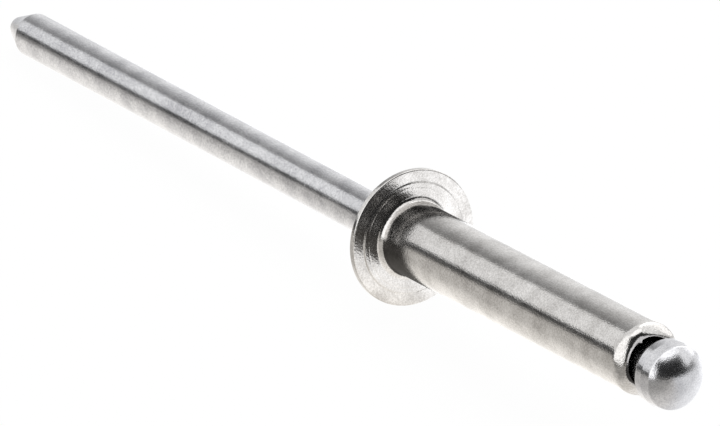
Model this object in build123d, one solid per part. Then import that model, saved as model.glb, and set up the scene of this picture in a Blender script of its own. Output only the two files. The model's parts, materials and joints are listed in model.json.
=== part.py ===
from build123d import *
from math import asin, atan, cos, degrees, hypot, radians, sin, tan
import os

# Open-end blind rivet with a domed flange, 3.2 mm nominal, lying as it comes to rest on a flat floor.
# Each piece is turned about +X with the flange's seat at x = 0, the shank on the +X side and the stem
# on the -X side. The pair is then leaned about Y, so that the rim and the stem's end meet the floor.
# Lengths are in mm and angles in degrees.

# Rivet body
shank_diameter = 3.2
shank_length = 18.4
bore_diameter = 2.2
root_fillet = 0.26
flange_diameter = 6.0
rim_thickness = 0.27
rim_edge_round = 0.06
flange_height = 0.95
crown_land_width = 0.35
rim_land_width = 0.53
seat_bevel_width = 0.22
seat_bevel_depth = 0.035
end_land = 0.03

# Crimp that closes the shank's end round the mandrel
crimp_count = 4
crimp_depth = 0.17
crimp_slope = 45
crimp_turn = 69

# Mandrel
stem_diameter = 1.93
stem_projection = 32.47
tip_diameter = 0.9
tip_length = 1.32
tip_edge_round = 0.08
stem_relief = 0.02
stem_relief_taper = 0.6
break_neck_diameter = 1.4
break_neck_width = 0.7
break_neck_setback = 1.3
head_diameter = 2.9
head_front_diameter = 2.76
head_gap = 0.08
head_underside_length = 0.95
head_band_length = 0.42
head_taper_length = 0.48
head_dome_height = 0.62
head_edge_round = 0.07
head_front_round = 0.18

# Fit of the mandrel in the bore: it lies over until this clearance is left at the shank's end
mandrel_clearance = 0.02

# Where the seam of the body's turned blank lies round its axis. It moves no visible form and not the crimp,
# only the edges that a mesh of the blank starts from.
blank_seam_turn = 90

shank_radius = shank_diameter / 2
bore_radius = bore_diameter / 2
flange_radius = flange_diameter / 2
stem_radius = stem_diameter / 2
core_radius = stem_radius - stem_relief
bore_play = bore_radius - core_radius - mandrel_clearance
mandrel_lean = degrees(atan(bore_play / shank_length))


def turned(outline):
    """The solid that a closed outline in the XZ plane sweeps in one turn about X."""
    return revolve(make_face(Plane.XZ * outline), Axis.X)


def rounded_edges(solid, x, radius, edge_round):
    """The solid with its circular edges at this x and radius rounded."""
    near = [
        edge
        for edge in solid.edges().filter_by(GeomType.CIRCLE)
        if abs(edge.arc_center.X - x) < 1e-4 and abs(edge.radius - radius) < 1e-4
    ]
    return fillet(near, edge_round)


def flange_and_shank():
    """One turned blank: the domed flange, the seat under it and the shank with its rolled end."""
    crown = (-flange_height, bore_radius + crown_land_width)
    dome_foot = (-rim_thickness, flange_radius)
    rim_front = (-seat_bevel_depth, flange_radius)
    bevel_outer = (-seat_bevel_depth, flange_radius - rim_land_width)
    seat_outer = (0, flange_radius - rim_land_width - seat_bevel_width)
    seat_inner = (0, shank_radius + root_fillet)
    roll = shank_radius - bore_radius - end_land
    roll_start = (shank_length - roll, shank_radius)
    roll_end = (shank_length, bore_radius + end_land)
    roll_middle = (roll_start[0] + roll * sin(radians(45)), roll_end[1] + roll * cos(radians(45)))
    root_middle = (
        root_fillet - root_fillet * cos(radians(45)),
        shank_radius + root_fillet - root_fillet * sin(radians(45)),
    )
    outline = (
        Line((-flange_height, bore_radius), crown)
        + TangentArc(crown, dome_foot, tangent=(0, 1))
        + Polyline(dome_foot, rim_front, bevel_outer, seat_outer, seat_inner)
        + ThreePointArc(seat_inner, root_middle, (root_fillet, shank_radius))
        + Line((root_fillet, shank_radius), roll_start)
        + ThreePointArc(roll_start, roll_middle, roll_end)
        + Polyline(roll_end, (shank_length, bore_radius), (-flange_height, bore_radius))
    )
    blank = turned(outline)
    blank = rounded_edges(blank, -rim_thickness, flange_radius, rim_edge_round)
    return rounded_edges(blank, -seat_bevel_depth, flange_radius, rim_edge_round)


def crimp_cutters():
    """Slabs whose inner faces press flats into the rolled end, evenly spaced round the shank."""
    roll = shank_radius - bore_radius - end_land
    slab = 4 * shank_diameter
    slope = radians(crimp_slope)
    # distance from the roll's centre to the flat, along the flat's normal
    reach = roll - crimp_depth
    centre_x = shank_length - roll + reach * sin(slope)
    centre_r = bore_radius + end_land + reach * cos(slope)
    cutters = []
    for index in range(crimp_count):
        turn = crimp_turn + index * 360 / crimp_count
        flat = Pos(centre_x, centre_r, 0) * Rot(0, 0, -crimp_slope) * Pos(0, slab / 2, 0)
        cutters.append(Rot(turn, 0, 0) * flat * Box(slab, slab, slab))
    return cutters


def rivet_body():
    """The tube that the setting tool bulges: flange, shank, bore and crimped end, in one piece."""
    body = Rot(blank_seam_turn, 0, 0) * flange_and_shank()
    for cutter in crimp_cutters():
        body -= cutter
    return body


def mandrel():
    """The pulling stem with its tapered tip, relieved core, break neck and domed head, in one piece."""
    tip_x = -stem_projection
    taper_x = tip_x + tip_length
    neck_x = shank_length - break_neck_setback
    neck_half = break_neck_width / 2
    head_x = shank_length + head_gap
    wide_x = head_x + head_underside_length
    band_x = wide_x + head_band_length
    front_x = band_x + head_taper_length
    head_radius = head_diameter / 2
    front = (front_x, head_front_diameter / 2)
    apex = (front_x + head_dome_height, 0)
    outline = (
        Polyline(
            (tip_x, 0),
            (tip_x, tip_diameter / 2),
            (taper_x, stem_radius),
            (-flange_height, stem_radius),
            (stem_relief_taper - flange_height, core_radius),
            (neck_x - neck_half, core_radius),
            (neck_x, break_neck_diameter / 2),
            (neck_x + neck_half, core_radius),
            (head_x, core_radius),
            (wide_x, head_radius),
            (band_x, head_radius),
            front,
        )
        + TangentArc(apex, front, tangent=(0, 1))
        + Line(apex, (tip_x, 0))
    )
    solid = turned(outline)
    solid = rounded_edges(solid, tip_x, tip_diameter / 2, tip_edge_round)
    solid = rounded_edges(solid, wide_x, head_radius, head_edge_round)
    solid = rounded_edges(solid, front_x, head_front_diameter / 2, head_front_round)
    return Rot(0, mandrel_lean, 0) * solid


def rest_lean():
    """The angle that brings the rim's back edge and the foot of the stem's taper onto one floor."""
    foot_x = stem_projection - tip_length
    lean = radians(mandrel_lean)
    foot_along = foot_x * cos(lean) + stem_radius * sin(lean)
    foot_drop = stem_radius * cos(lean) - foot_x * sin(lean)
    run = foot_along - (rim_thickness - rim_edge_round)
    drop = flange_radius - rim_edge_round - foot_drop
    return degrees(atan(drop / run) + asin(rim_edge_round / hypot(run, drop)))


lying = Rot(0, -rest_lean(), 0)
os.makedirs("parts", exist_ok=True)
export_step(lying * rivet_body(), "parts/rivet_body.step")
export_step(lying * mandrel(), "parts/mandrel.step")
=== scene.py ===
import json
from math import atan2, cos, degrees, exp, log, pi, radians, sin, sqrt

import bpy
from mathutils import Matrix, Vector

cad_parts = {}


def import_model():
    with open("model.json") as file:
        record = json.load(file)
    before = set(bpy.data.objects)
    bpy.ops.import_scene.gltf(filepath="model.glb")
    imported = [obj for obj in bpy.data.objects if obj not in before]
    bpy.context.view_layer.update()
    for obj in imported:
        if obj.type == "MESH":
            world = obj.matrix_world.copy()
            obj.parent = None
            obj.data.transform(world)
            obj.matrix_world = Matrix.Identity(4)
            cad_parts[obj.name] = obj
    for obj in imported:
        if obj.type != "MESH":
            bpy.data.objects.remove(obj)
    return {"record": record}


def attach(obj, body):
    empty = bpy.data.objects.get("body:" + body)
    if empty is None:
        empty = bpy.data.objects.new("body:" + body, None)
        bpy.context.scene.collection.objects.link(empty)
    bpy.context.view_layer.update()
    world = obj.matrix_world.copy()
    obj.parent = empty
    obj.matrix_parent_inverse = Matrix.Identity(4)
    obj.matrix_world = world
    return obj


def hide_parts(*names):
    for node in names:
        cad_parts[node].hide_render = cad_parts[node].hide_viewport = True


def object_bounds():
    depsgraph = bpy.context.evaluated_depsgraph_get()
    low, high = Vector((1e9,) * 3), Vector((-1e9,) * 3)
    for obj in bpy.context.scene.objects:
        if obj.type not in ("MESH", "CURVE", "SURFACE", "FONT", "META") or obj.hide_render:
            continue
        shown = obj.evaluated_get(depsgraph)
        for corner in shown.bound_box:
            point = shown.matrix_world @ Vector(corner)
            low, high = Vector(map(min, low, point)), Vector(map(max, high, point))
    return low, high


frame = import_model()
cad_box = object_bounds()

# Everything on the rivet is in millimetres until a mesh is written. The sizes are the CAD part's own.
MM = 0.001
mounts = {mount["name"]: mount for mount in frame["record"]["mounts"]}
body_axis = Vector(mounts["seat"]["axis"])
stem_axis = -Vector(mounts["stem"]["axis"])
SHANK_R = mounts["shank"]["dims"]["r_mm"]
STEM_R = mounts["stem"]["dims"]["r_mm"]

BORE_R = 1.1
SHANK_END = 18.4
ROOT_FILLET = 0.26
FLANGE_R = 3.0
RIM_BACK = -0.27
RIM_ROUND = 0.06
CROWN_X = -0.95
CROWN_R = 1.45
SCRIBE_R = 2.24
SEAT_R = 2.42
BEVEL_R = 2.47
BEVEL_X = -0.035
END_LAND = 0.03
ROLL = SHANK_R - BORE_R - END_LAND
CRIMPS = 4
CRIMP_DEPTH = 0.15
CRIMP_TURN = radians(69)
LIP = 0.12

CORE_R = STEM_R - 0.02
TIP_X = -32.47
TIP_R = 0.45
TAPER_X = -31.15
HEAD_X = SHANK_END + 0.08
HEAD_WIDE_X = HEAD_X + 0.95
HEAD_BAND_X = HEAD_WIDE_X + 0.42
HEAD_FRONT_X = HEAD_BAND_X + 0.48
HEAD_R = 1.45
HEAD_FRONT_R = 1.38
DOME = 0.62
FRONT_ROUND = 0.18
EDGE_ROUND = 0.07

TURNS = 288

# How bright the floor is as the metal mirrors it, in metres: coordinate, from, to, level at from, level at to
FLOOR_LEVELS = (
    ("Y", -0.0055, 0.0, 0.72, 1.4),
    ("Y", -0.08, -0.01, 0.6, 1.0),
    ("Y", 0.002, 0.01, 0.95, 1.12),
    ("X", -0.007, -0.002, 0.95, 1.0),
    ("X", 0.016, 0.027, 1.0, 0.6),
    ("X", -0.038, -0.034, 0.6, 1.0),
)


def arc(centre, radius, start, end, steps):
    """Points on an arc in the (x, r) plane, with its angles in degrees from the +x direction."""
    points = []
    for index in range(steps + 1):
        angle = radians(start + (end - start) * index / steps)
        points.append((centre[0] + radius * cos(angle), centre[1] + radius * sin(angle)))
    return points


def straight(a, b, steps):
    """Points from a towards b, without b."""
    return [(a[0] + (b[0] - a[0]) * i / steps, a[1] + (b[1] - a[1]) * i / steps) for i in range(steps)]


def rounded(a, corner, b, radius, steps=8):
    """The corner between a and b, rounded with a tangent arc."""
    to_a = Vector((a[0] - corner[0], a[1] - corner[1])).normalized()
    to_b = Vector((b[0] - corner[0], b[1] - corner[1])).normalized()
    half = to_a.angle(to_b) / 2
    reach = radius / sin(half)
    middle = Vector(corner) + (to_a + to_b).normalized() * reach
    first = Vector(corner) + to_a * reach * cos(half) - middle
    last = Vector(corner) + to_b * reach * cos(half) - middle
    begin = atan2(first.y, first.x)
    sweep = (atan2(last.y, last.x) - begin + pi) % (2 * pi) - pi
    angles = [begin + sweep * i / steps for i in range(steps + 1)]
    return [(middle.x + radius * cos(angle), middle.y + radius * sin(angle)) for angle in angles]


def lathe(name, outline, closed, shape=None):
    """A smooth mesh of the outline turned about X. shape(x, r, angle) may move each point."""
    verts = []
    rings = []
    for x, r in outline:
        if r < 1e-6:
            rings.append([len(verts)] * TURNS)
            verts.append((x * MM, 0, 0))
            continue
        ring = []
        for turn in range(TURNS):
            angle = 2 * pi * turn / TURNS
            px, pr = shape(x, r, angle) if shape else (x, r)
            ring.append(len(verts))
            verts.append((px * MM, pr * MM * cos(angle), pr * MM * sin(angle)))
        rings.append(ring)
    pairs = list(zip(rings, rings[1:] + rings[:1])) if closed else list(zip(rings, rings[1:]))
    faces = []
    for ring, following in pairs:
        for turn in range(TURNS):
            after = (turn + 1) % TURNS
            corners = [ring[turn], ring[after], following[after], following[turn]]
            face = [c for i, c in enumerate(corners) if c not in corners[:i]]
            if len(face) > 2:
                faces.append(face)
    mesh = bpy.data.meshes.new(name)
    mesh.from_pydata(verts, [], faces)
    mesh.validate()
    mesh.shade_smooth()
    return bpy.data.objects.new(name, mesh)


def place(piece, axis, node):
    """Lays a turned piece along its axis, in place of its CAD node."""
    bpy.context.scene.collection.objects.link(piece)
    piece.data.transform(Matrix.Rotation(-atan2(axis.z, axis.x), 4, "Y"))
    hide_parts(node)
    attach(piece, "root")


def crimped(x, r, angle):
    """Presses soft flats into the rolled end of the shank, with a small tooth on each upper ridge."""
    if x < SHANK_END - 2.5 * ROLL:
        return x, r
    nearest = (angle - CRIMP_TURN + pi / CRIMPS) % (2 * pi / CRIMPS) - pi / CRIMPS
    flat_r = r * cos(nearest)
    # how far this point stands out past the flat, along the flat's normal
    reach = ((x - SHANK_END + ROLL) + (flat_r - BORE_R - END_LAND)) * sqrt(0.5)
    # each flat is left a little convex, like a shallow lens
    across = nearest * r
    lens = max(0.0, 0.06 - (across**2) / 9)
    past = reach - (ROLL - CRIMP_DEPTH) - lens
    soft = 0.04
    press = soft * log(1 + exp(past / soft)) if past < 20 * soft else past
    outer = min(1.0, max(0.0, (r - BORE_R) / 0.06))
    x -= press * outer * sqrt(0.5)
    r -= press * outer * sqrt(0.5)
    # the ridge between two flats ends in a tooth that stands into the mouth, on the upper half only
    ridge = pi / CRIMPS - abs(nearest)
    mouth = exp(-(((r - BORE_R) / 0.14) ** 2)) * exp(-(((x - SHANK_END) / 0.16) ** 2))
    room = max(0.0, sin(angle))
    tooth = LIP * exp(-((ridge * r / 0.07) ** 2)) * mouth * room
    return min(x, SHANK_END), r - tooth


def rivet_body():
    """The domed flange, seat, shank, rolled and crimped end, and the bore."""
    foot = Vector((RIM_BACK, FLANGE_R))
    crown = Vector((CROWN_X, CROWN_R))
    # the dome is an arc that leaves the flat crown at a right angle to the axis
    span = foot - crown
    dome_r = span.length_squared / (2 * span.x)
    centre = (CROWN_X + dome_r, CROWN_R)
    end_angle = degrees(atan2(FLANGE_R - CROWN_R, RIM_BACK - centre[0]))
    dome = arc(centre, dome_r, 180, end_angle, 40)
    rim_front = (BEVEL_X, FLANGE_R)
    outline = straight((CROWN_X, BORE_R), crown, 6)
    outline += dome[:-3]
    outline += rounded(dome[-4], foot, rim_front, RIM_ROUND)
    outline += rounded(foot, rim_front, (BEVEL_X, BEVEL_R), RIM_ROUND)
    outline += straight((BEVEL_X, FLANGE_R - RIM_ROUND - 0.02), (BEVEL_X, BEVEL_R + 0.03), 10)
    outline += rounded(rim_front, (BEVEL_X, BEVEL_R), (0, SEAT_R), 0.03, 4)
    outline += rounded((BEVEL_X, BEVEL_R), (0, SEAT_R), (0, SHANK_R), 0.03, 4)
    outline += straight((0, SEAT_R - 0.03), (0, SCRIBE_R + 0.04), 4)
    outline += [(0, SCRIBE_R + 0.04), (-0.006, SCRIBE_R), (0, SCRIBE_R - 0.04)]
    outline += straight((0, SCRIBE_R - 0.06), (0, SHANK_R + ROOT_FILLET + 0.03), 10)
    outline += arc((ROOT_FILLET, SHANK_R + ROOT_FILLET), ROOT_FILLET, 180, 270, 16)
    outline += straight((ROOT_FILLET + 0.05, SHANK_R), (SHANK_END - 1.5, SHANK_R), 60)
    outline += straight((SHANK_END - 1.5, SHANK_R), (SHANK_END - ROLL, SHANK_R), 30)
    outline += arc((SHANK_END - ROLL, BORE_R + END_LAND), ROLL, 90, 0, 40)
    outline += straight((SHANK_END, BORE_R), (CROWN_X, BORE_R), 40)
    return lathe("rivet_body_finished", outline, True, crimped)


def mandrel():
    """The tapered tip, straight stem, break neck, cone and domed head."""
    tip = (TIP_X, TIP_R)
    shoulder = (TAPER_X, STEM_R)
    neck = SHANK_END - 1.3
    wide = (HEAD_WIDE_X, HEAD_R)
    band = (HEAD_BAND_X, HEAD_R)
    front = (HEAD_FRONT_X, HEAD_FRONT_R)
    sphere_r = (HEAD_FRONT_R**2 + DOME**2) / (2 * DOME)
    sphere_x = HEAD_FRONT_X + DOME - sphere_r
    edge_angle = degrees(atan2(HEAD_FRONT_R, HEAD_FRONT_X - sphere_x))
    dome = arc((sphere_x, 0), sphere_r, edge_angle, 0, 40)
    outline = [(TIP_X, 0)]
    outline += straight((TIP_X, 0.05), (TIP_X, TIP_R - 0.1), 4)
    outline += rounded((TIP_X, 0), tip, shoulder, 0.08)
    slope = (STEM_R - TIP_R) / (TAPER_X - TIP_X)
    outline += straight((TIP_X + 0.15, TIP_R + 0.15 * slope), (TAPER_X - 0.08, STEM_R - 0.08 * slope), 20)
    outline += rounded(tip, shoulder, (0, STEM_R), 0.1)
    outline += straight((TAPER_X + 0.1, STEM_R), (CROWN_X, STEM_R), 100)
    outline += straight((CROWN_X, STEM_R), (CROWN_X + 0.6, CORE_R), 4)
    outline += straight((CROWN_X + 0.6, CORE_R), (neck - 0.35, CORE_R), 20)
    outline += straight((neck - 0.35, CORE_R), (neck, 0.7), 4)
    outline += straight((neck, 0.7), (neck + 0.35, CORE_R), 4)
    outline += straight((neck + 0.35, CORE_R), (HEAD_X, CORE_R), 4)
    outline += straight((HEAD_X, CORE_R), (HEAD_WIDE_X - 0.05, HEAD_R - 0.02), 12)
    outline += rounded((HEAD_X, CORE_R), wide, band, EDGE_ROUND)
    outline += straight((HEAD_WIDE_X + 0.06, HEAD_R), band, 8)
    outline += [band]
    outline += straight((HEAD_BAND_X + 0.02, HEAD_R - 0.003), (HEAD_FRONT_X - 0.06, HEAD_FRONT_R + 0.009), 8)
    outline += rounded(band, front, dome[5], FRONT_ROUND, 14)
    outline += dome[6:]
    return lathe("mandrel_finished", outline, False)


def node_maker(tree):
    """A short way to add a node and set its inputs."""

    def add(kind, **inputs):
        node = tree.nodes.new(kind)
        for name, value in inputs.items():
            socket = node.inputs[name.replace("_", " ")]
            if hasattr(value, "links"):
                tree.links.new(value, socket)
            else:
                socket.default_value = value
        return node

    return add


def steel(name, axis, colour, tint, roughness):
    """Drawn stainless steel, with fine lines along the axis and a softly uneven gloss."""
    material = bpy.data.materials.new(name)
    material.use_nodes = True
    tree = material.node_tree
    shader = tree.nodes["Principled BSDF"]
    shader.inputs["Metallic"].default_value = 1.0
    add = node_maker(tree)
    whole = add("ShaderNodeTexCoord").outputs["Object"]
    lean = atan2(axis.z, axis.x)
    turned = add("ShaderNodeMapping", Vector=whole, Rotation=(0, lean, 0)).outputs["Vector"]
    lines = add("ShaderNodeMapping", Vector=turned, Scale=(2500, 16000, 16000))
    drawn = add("ShaderNodeTexNoise", Vector=lines.outputs["Vector"], Scale=1.0, Detail=3.0)
    grain = add("ShaderNodeTexNoise", Vector=turned, Scale=15000.0, Detail=2.0)
    cloud = add("ShaderNodeTexNoise", Vector=turned, Scale=900.0, Detail=3.0)
    rough = add("ShaderNodeMapRange", Value=cloud.outputs["Fac"], From_Min=0.3, From_Max=0.7)
    rough.inputs["To Min"].default_value = roughness * 0.8
    rough.inputs["To Max"].default_value = roughness * 1.3
    tree.links.new(rough.outputs["Result"], shader.inputs["Roughness"])
    shade = add("ShaderNodeMix")
    shade.data_type = "RGBA"
    specks = add("ShaderNodeTexNoise", Vector=turned, Scale=13000.0, Detail=2.0, Roughness=0.6)
    both = add("ShaderNodeMath")
    both.operation = "ADD"
    tree.links.new(cloud.outputs["Fac"], both.inputs[0])
    tree.links.new(specks.outputs["Fac"], both.inputs[1])
    spread = add("ShaderNodeMapRange", Value=both.outputs[0], From_Min=0.75, From_Max=1.25)
    tree.links.new(spread.outputs["Result"], shade.inputs["Factor"])
    shade.inputs[6].default_value = (*colour, 1)
    shade.inputs[7].default_value = (*tint, 1)
    tree.links.new(shade.outputs[2], shader.inputs["Base Color"])
    first = add("ShaderNodeBump", Height=drawn.outputs["Fac"], Strength=0.25, Distance=0.00001)
    second = add("ShaderNodeBump", Height=grain.outputs["Fac"], Strength=0.5, Distance=0.00001)
    tree.links.new(first.outputs["Normal"], second.inputs["Normal"])
    tree.links.new(second.outputs["Normal"], shader.inputs["Normal"])
    return material


def card(name, turn_from, turn_to, rise_from, rise_to, grey_from, grey_to):
    """A studio card: a patch of a sphere round the rivet, seen only in reflections."""
    reach = 0.6
    columns, rows = 24, 8
    verts = []
    for j in range(rows + 1):
        for i in range(columns + 1):
            turn = radians(turn_from + (turn_to - turn_from) * i / columns)
            rise = radians(rise_from + (rise_to - rise_from) * j / rows)
            verts.append((reach * cos(turn) * cos(rise), reach * sin(turn) * cos(rise), reach * sin(rise)))
    stride = columns + 1
    starts = [j * stride + i for j in range(rows) for i in range(columns)]
    faces = [(a, a + 1, a + stride + 1, a + stride) for a in starts]
    mesh = bpy.data.meshes.new(name)
    mesh.from_pydata(verts, [], faces)
    layer = mesh.attributes.new("grey", "FLOAT", "POINT")
    for index in range(len(verts)):
        share = (index % stride) / columns
        layer.data[index].value = grey_from + (grey_to - grey_from) * share**1.5
    panel = bpy.data.objects.new(name, mesh)
    bpy.context.scene.collection.objects.link(panel)
    material = bpy.data.materials.new(name)
    material.use_nodes = True
    tree = material.node_tree
    tree.nodes.clear()
    add = node_maker(tree)
    grey = add("ShaderNodeAttribute")
    grey.attribute_name = "grey"
    glow = add("ShaderNodeEmission", Strength=grey.outputs["Fac"])
    add("ShaderNodeOutputMaterial", Surface=glow.outputs["Emission"])
    mesh.materials.append(material)
    panel.visible_camera = False
    panel.visible_diffuse = False
    panel.visible_shadow = False


def multiplied(tree, first, second):
    """The product of two node outputs."""
    product = tree.nodes.new("ShaderNodeMath")
    product.operation = "MULTIPLY"
    tree.links.new(first, product.inputs[0])
    tree.links.new(second, product.inputs[1])
    return product.outputs[0]


def floor():
    """A white floor that stays white to the camera and keeps a soft shadow. Seen in the metal it glows as
    painted light: a painted pool of light beside the rivet, painted shade farther off and after two bounces,
    and a painted warm tint towards -Y.
    """
    half = 1.5
    low = cad_box[0][2]
    corners = [(-half, -half, low), (half, -half, low), (half, half, low), (-half, half, low)]
    mesh = bpy.data.meshes.new("floor")
    mesh.from_pydata(corners, [], [(0, 1, 2, 3)])
    plane = bpy.data.objects.new("floor", mesh)
    bpy.context.scene.collection.objects.link(plane)
    material = bpy.data.materials.new("floor")
    material.use_nodes = True
    tree = material.node_tree
    tree.nodes.clear()
    add = node_maker(tree)
    diffuse = add("ShaderNodeBsdfDiffuse", Color=(0.8, 0.8, 0.8, 1))
    glow = add("ShaderNodeEmission", Strength=1.0)
    path = add("ShaderNodeLightPath")
    share = add("ShaderNodeMath")
    share.operation = "MULTIPLY"
    tree.links.new(path.outputs["Is Camera Ray"], share.inputs[0])
    share.inputs[1].default_value = 0.98
    mixed = add("ShaderNodeMixShader", Fac=share.outputs[0])
    tree.links.new(diffuse.outputs[0], mixed.inputs[1])
    tree.links.new(glow.outputs[0], mixed.inputs[2])
    # seen in the metal, the floor is brightest beside the rivet and fades with distance
    place_of = add("ShaderNodeTexCoord").outputs["Object"]
    parts = add("ShaderNodeSeparateXYZ", Vector=place_of)
    level = None
    for along, start, end, level_start, level_end in FLOOR_LEVELS:
        ramp = add(
            "ShaderNodeMapRange",
            Value=parts.outputs[along],
            From_Min=start,
            From_Max=end,
            To_Min=level_start,
            To_Max=level_end,
        ).outputs[0]
        level = multiplied(tree, level, ramp) if level else ramp
    # seen after two bounces, as in the corner between flange and shank, it is dim
    bounce = path.outputs["Glossy Depth"]
    again = add("ShaderNodeMapRange", Value=bounce, From_Min=1.0, From_Max=2.0, To_Min=1.0, To_Max=0.16)
    level = multiplied(tree, level, again.outputs[0])
    # the floor's painted glow in reflections is warmer towards -Y and cooler towards +Y
    warmth = add("ShaderNodeMapRange", Value=parts.outputs["Y"], From_Min=-0.001, From_Max=0.002)
    hue = add("ShaderNodeMix")
    hue.data_type = "RGBA"
    tree.links.new(warmth.outputs[0], hue.inputs["Factor"])
    hue.inputs[6].default_value = (1.0, 0.97, 0.925, 1)
    hue.inputs[7].default_value = (0.985, 0.99, 1.0, 1)
    table = add("ShaderNodeEmission", Color=hue.outputs[2], Strength=level)
    glossy = add("ShaderNodeMixShader", Fac=path.outputs["Is Glossy Ray"])
    tree.links.new(mixed.outputs[0], glossy.inputs[1])
    tree.links.new(table.outputs[0], glossy.inputs[2])
    add("ShaderNodeOutputMaterial", Surface=glossy.outputs[0])
    mesh.materials.append(material)


def world():
    scene = bpy.context.scene
    scene.world = bpy.data.worlds.new("studio")
    scene.world.use_nodes = True
    tree = scene.world.node_tree
    tree.nodes.clear()
    add = node_maker(tree)
    path = add("ShaderNodeLightPath")
    seen = add("ShaderNodeMath")
    seen.operation = "MAXIMUM"
    tree.links.new(path.outputs["Is Camera Ray"], seen.inputs[0])
    tree.links.new(path.outputs["Is Glossy Ray"], seen.inputs[1])
    seen2 = add("ShaderNodeMath")
    seen2.operation = "MAXIMUM"
    tree.links.new(seen.outputs[0], seen2.inputs[0])
    tree.links.new(path.outputs["Is Transmission Ray"], seen2.inputs[1])
    level = add("ShaderNodeMapRange", Value=seen2.outputs[0])
    level.inputs["To Min"].default_value = 0.5
    level.inputs["To Max"].default_value = 1.0
    back = add("ShaderNodeBackground", Color=(1, 1, 1, 1), Strength=level.outputs["Result"])
    add("ShaderNodeOutputWorld", Surface=back.outputs[0])


def lamp(name, turn, rise, reach, size, power):
    data = bpy.data.lights.new(name, "AREA")
    data.shape = "DISK"
    data.size = size
    data.energy = power
    lamp_object = bpy.data.objects.new(name, data)
    bpy.context.scene.collection.objects.link(lamp_object)
    turn, rise = radians(turn), radians(rise)
    away = Vector((cos(turn) * cos(rise), sin(turn) * cos(rise), sin(rise)))
    lamp_object.location = away * reach
    lamp_object.rotation_euler = away.to_track_quat("Z", "Y").to_euler()
    lamp_object.visible_camera = False
    lamp_object.visible_glossy = False


def camera():
    turn, rise = radians(58.04), radians(23.88)
    back = Vector((sin(turn) * cos(rise), -cos(turn) * cos(rise), sin(rise)))
    right = Vector((cos(turn), sin(turn), 0))
    up = back.cross(right)
    aim = (-2.261 * right + 1.047 * up) * MM
    data = bpy.data.cameras.new("camera")
    data.lens = 831.8
    data.clip_start = 0.01
    data.clip_end = 20
    view = bpy.data.objects.new("camera", data)
    bpy.context.scene.collection.objects.link(view)
    view.matrix_world = Matrix.Translation(aim + back * 0.7) @ Matrix((right, up, back)).transposed().to_4x4()
    bpy.context.scene.camera = view


rivet = rivet_body()
warm_dark, warm_light = (0.47, 0.455, 0.44), (0.76, 0.745, 0.73)
rivet.data.materials.append(steel("rivet_steel_drawn", body_axis, warm_dark, warm_light, 0.12))
place(rivet, body_axis, "rivet_body")
pin = mandrel()
cool_dark, cool_light = (0.48, 0.48, 0.50), (0.75, 0.75, 0.765)
pin.data.materials.append(steel("mandrel_steel_drawn", stem_axis, cool_dark, cool_light, 0.17))
place(pin, stem_axis, "mandrel")

floor()
world()
card("camera_side_card", -44, 40, -0.2, 46, 0.03, 0.03)
card("right_strip", 40, 72, -0.2, 13, 0.1, 0.4)
card("horizon_strip", 192, 262, -0.2, 9, 0.08, 0.08)
card("left_grey_card", 188, 145, 3, 45, 0.28, 1.05)
card("front_light", -97, -46, 1, 60, 1.55, 1.55)
card("back_light", 80, 125, 12, 70, 1.8, 1.8)
card("top_light", -50, 60, 50, 85, 1.6, 1.6)
lamp("key", 120, 60, 0.8, 0.8, 8)
camera()
bpy.context.scene.view_settings.view_transform = "Standard"
